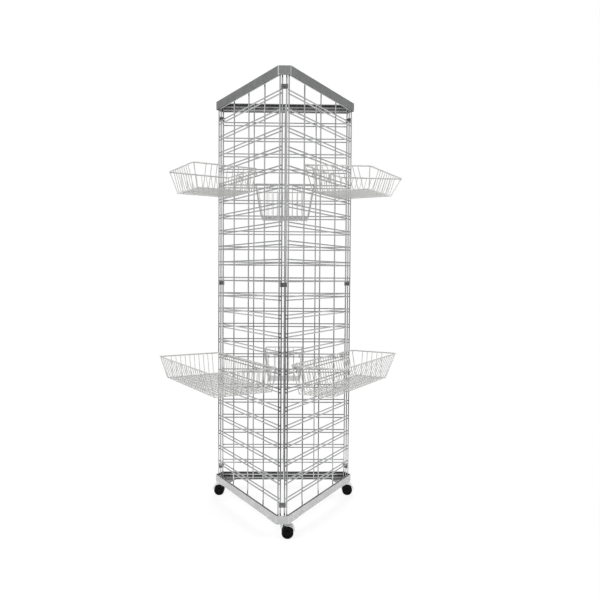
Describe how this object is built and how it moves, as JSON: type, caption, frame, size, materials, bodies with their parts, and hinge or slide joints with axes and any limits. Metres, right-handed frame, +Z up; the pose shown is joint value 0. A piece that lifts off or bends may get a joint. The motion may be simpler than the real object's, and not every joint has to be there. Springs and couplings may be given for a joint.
{
  "type": "three-sided wire display rack",
  "caption": "Triangular display tower of chrome slat grid panels between folded steel frames, on twin wheel castors, with lift-off wire baskets hung on its faces.",
  "frame": {"origin": "on the floor under the tower's axis, which runs through the middle of the triangle", "axes": "+Z up, front corner towards -Y, +X to the right seen from the front"},
  "size_m": [1.1176, 1.0009, 1.9366],
  "materials": {
    "panel_chrome": "bright chrome-plated welded steel wire",
    "basket_wire": "light grey epoxy-coated welded basket wire",
    "top_sheet": "satin grey coated folded sheet steel",
    "base_sheet": "satin light grey coated folded sheet steel",
    "dark_steel": "dark plated steel clips",
    "zinc_steel": "zinc-plated turned steel",
    "castor_chrome": "bright plated castor hood",
    "wheel_black": "black moulded nylon castor wheel and axle caps"
  },
  "bodies": {
    "rack": {"base_frame": "base_sheet", "castor_plates": "base_sheet", "top_frame": "top_sheet", "left_panel": "panel_chrome", "right_panel": "panel_chrome", "back_panel": "panel_chrome", "panel_hold_downs": "dark_steel", "hold_down_screws": "zinc_steel", "clip_outer_plates": "dark_steel", "clip_inner_plates": "dark_steel", "clip_screws": "zinc_steel", "clip_nuts": "zinc_steel", "front_stem": "zinc_steel", "front_stem_nut": "zinc_steel", "left_stem": "zinc_steel", "left_stem_nut": "zinc_steel", "right_stem": "zinc_steel", "right_stem_nut": "zinc_steel"},
    "front_castor": {"front_hood": "castor_chrome", "front_axle": "wheel_black"},
    "front_near_wheel": {"front_near_wheel": "wheel_black"},
    "front_far_wheel": {"front_far_wheel": "wheel_black"},
    "left_castor": {"left_hood": "castor_chrome", "left_axle": "wheel_black"},
    "left_near_wheel": {"left_near_wheel": "wheel_black"},
    "left_far_wheel": {"left_far_wheel": "wheel_black"},
    "right_castor": {"right_hood": "castor_chrome", "right_axle": "wheel_black"},
    "right_near_wheel": {"right_near_wheel": "wheel_black"},
    "right_far_wheel": {"right_far_wheel": "wheel_black"},
    "upper_left_basket": {"upper_left_basket": "basket_wire"},
    "upper_right_basket": {"upper_right_basket": "basket_wire"},
    "upper_back_basket": {"upper_back_basket": "basket_wire"},
    "lower_left_basket": {"lower_left_basket": "basket_wire"},
    "lower_right_basket": {"lower_right_basket": "basket_wire"},
    "lower_back_basket": {"lower_back_basket": "basket_wire"}
  },
  "joints": [
    {"name": "front_swivel", "type": "hinge", "parent": "rack", "child": "front_castor", "pos_m": [0, -0.34298, 0.056], "axis": [0, 0, 1], "continuous": true},
    {"name": "front_near_roll", "type": "hinge", "parent": "front_castor", "child": "front_near_wheel", "pos_m": [0.022, -0.35598, 0.025], "axis": [0, 1, 0], "continuous": true},
    {"name": "front_far_roll", "type": "hinge", "parent": "front_castor", "child": "front_far_wheel", "pos_m": [0.022, -0.32998, 0.025], "axis": [0, 1, 0], "continuous": true},
    {"name": "left_swivel", "type": "hinge", "parent": "rack", "child": "left_castor", "pos_m": [-0.29703, 0.17149, 0.056], "axis": [0, 0, 1], "continuous": true},
    {"name": "left_near_roll", "type": "hinge", "parent": "left_castor", "child": "left_near_wheel", "pos_m": [-0.31903, 0.15849, 0.025], "axis": [0, 1, 0], "continuous": true},
    {"name": "left_far_roll", "type": "hinge", "parent": "left_castor", "child": "left_far_wheel", "pos_m": [-0.31903, 0.18449, 0.025], "axis": [0, 1, 0], "continuous": true},
    {"name": "right_swivel", "type": "hinge", "parent": "rack", "child": "right_castor", "pos_m": [0.29703, 0.17149, 0.056], "axis": [0, 0, 1], "continuous": true},
    {"name": "right_near_roll", "type": "hinge", "parent": "right_castor", "child": "right_near_wheel", "pos_m": [0.31903, 0.15849, 0.025], "axis": [0, 1, 0], "continuous": true},
    {"name": "right_far_roll", "type": "hinge", "parent": "right_castor", "child": "right_far_wheel", "pos_m": [0.31903, 0.18449, 0.025], "axis": [0, 1, 0], "continuous": true},
    {"name": "upper_left_lift", "type": "slide", "parent": "rack", "child": "upper_left_basket", "axis": [0, 0, 1], "range_m": [0, 0.013]},
    {"name": "upper_right_lift", "type": "slide", "parent": "rack", "child": "upper_right_basket", "axis": [0, 0, 1], "range_m": [0, 0.013]},
    {"name": "upper_back_lift", "type": "slide", "parent": "rack", "child": "upper_back_basket", "axis": [0, 0, 1], "range_m": [0, 0.013]},
    {"name": "lower_left_lift", "type": "slide", "parent": "rack", "child": "lower_left_basket", "axis": [0, 0, 1], "range_m": [0, 0.013]},
    {"name": "lower_right_lift", "type": "slide", "parent": "rack", "child": "lower_right_basket", "axis": [0, 0, 1], "range_m": [0, 0.013]},
    {"name": "lower_back_lift", "type": "slide", "parent": "rack", "child": "lower_back_basket", "axis": [0, 0, 1], "range_m": [0, 0.013]}
  ]
}
